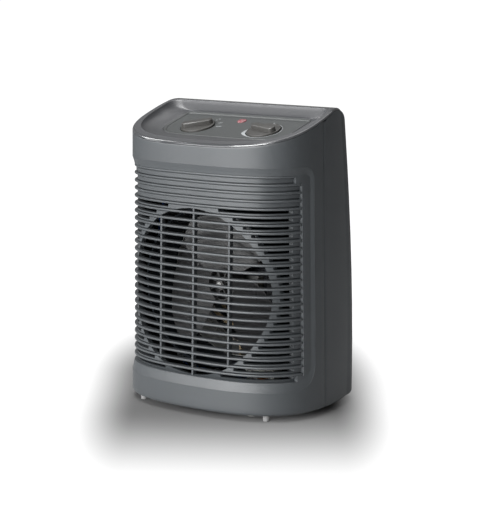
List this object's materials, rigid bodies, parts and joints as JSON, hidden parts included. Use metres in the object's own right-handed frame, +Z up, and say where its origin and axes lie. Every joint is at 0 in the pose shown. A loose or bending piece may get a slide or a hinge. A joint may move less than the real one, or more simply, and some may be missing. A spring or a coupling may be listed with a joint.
{
  "type": "portable fan heater",
  "caption": "Upright D-shaped fan heater: louvred front round an axial fan and wire element, and two knobs in a dished sloping top.",
  "frame": {"origin": "on the floor under the middle of the casing, at the level the feet stand on", "axes": "+X to the right of the louvred front as it faces the viewer, +Y towards the back, +Z up"},
  "size_m": [0.207, 0.1566, 0.2869],
  "materials": {
    "casing_plastic": "fine spark texture, satin",
    "panel_plastic": "smooth satin",
    "fascia_plastic": "fine satin texture",
    "knob_plastic": "fine satin texture",
    "lens_plastic": "clear gloss",
    "lamp_glass": "clear gloss",
    "switch_plastic": "satin",
    "rubber_black": "matte",
    "duct_plastic": "matte",
    "blade_plastic": "satin",
    "plated_steel": "zinc plated",
    "bright_steel": "ground",
    "laminated_steel": "varnished stack",
    "copper_winding": "varnished",
    "bronze": "sintered",
    "mica": "layered",
    "element_wire": "oxidised",
    "ceramic": "glazed",
    "block_plastic": "satin",
    "wire_brown": "satin",
    "wire_blue": "satin",
    "wire_black": "satin",
    "wire_white": "satin",
    "wire_red": "satin"
  },
  "bodies": {
    "casing": {"front_shell": "casing_plastic", "rear_shell": "casing_plastic", "front_grille": "casing_plastic", "top_panel": "panel_plastic", "base_plate": "casing_plastic", "control_fascia": "fascia_plastic", "pilot_lens": "lens_plastic", "pilot_lamp": "lamp_glass", "selector_switch": "switch_plastic", "thermostat_body": "switch_plastic", "control_screws": "plated_steel", "foot_front_left": "rubber_black", "foot_front_right": "rubber_black", "foot_rear_left": "rubber_black", "foot_rear_right": "rubber_black", "fan_duct": "duct_plastic", "motor_spider": "plated_steel", "heater_ring": "plated_steel", "mica_frame": "mica", "heating_coil_inner": "element_wire", "heating_coil_outer": "element_wire", "thermal_cutout": "ceramic", "thermal_fuse": "plated_steel", "motor_stator": "laminated_steel", "motor_coil": "copper_winding", "motor_bracket_front": "plated_steel", "motor_bracket_rear": "plated_steel", "motor_bush_front": "bronze", "motor_bush_rear": "bronze", "motor_bolts": "plated_steel", "cord_bush": "rubber_black", "terminal_block": "block_plastic", "casing_screws": "plated_steel", "base_screws": "plated_steel", "duct_screws": "plated_steel", "spider_screws": "plated_steel", "wire_live": "wire_brown", "wire_neutral": "wire_blue", "wire_link": "wire_black", "wire_motor": "wire_white", "wire_heater": "wire_red"},
    "function_knob": {"function_knob": "knob_plastic", "function_spindle": "bright_steel"},
    "thermostat_knob": {"thermostat_knob": "knob_plastic", "thermostat_spindle": "bright_steel"},
    "fan_rotor": {"fan_impeller": "blade_plastic", "impeller_nut": "plated_steel", "motor_shaft": "bright_steel", "motor_rotor": "laminated_steel"}
  },
  "joints": [
    {"name": "function_knob_turn", "type": "hinge", "parent": "casing", "child": "function_knob", "pos_m": [-0.0385, -0.012, 0.2667], "axis": [0, -0.2689, 0.9632], "range_deg": [-45, 90]},
    {"name": "thermostat_knob_turn", "type": "hinge", "parent": "casing", "child": "thermostat_knob", "pos_m": [0.0385, -0.012, 0.2667], "axis": [0, -0.2689, 0.9632], "range_deg": [-120, 150]},
    {"name": "fan_spin", "type": "hinge", "parent": "casing", "child": "fan_rotor", "pos_m": [0, -0.02, 0.117], "axis": [0, 1, 0], "continuous": true}
  ]
}
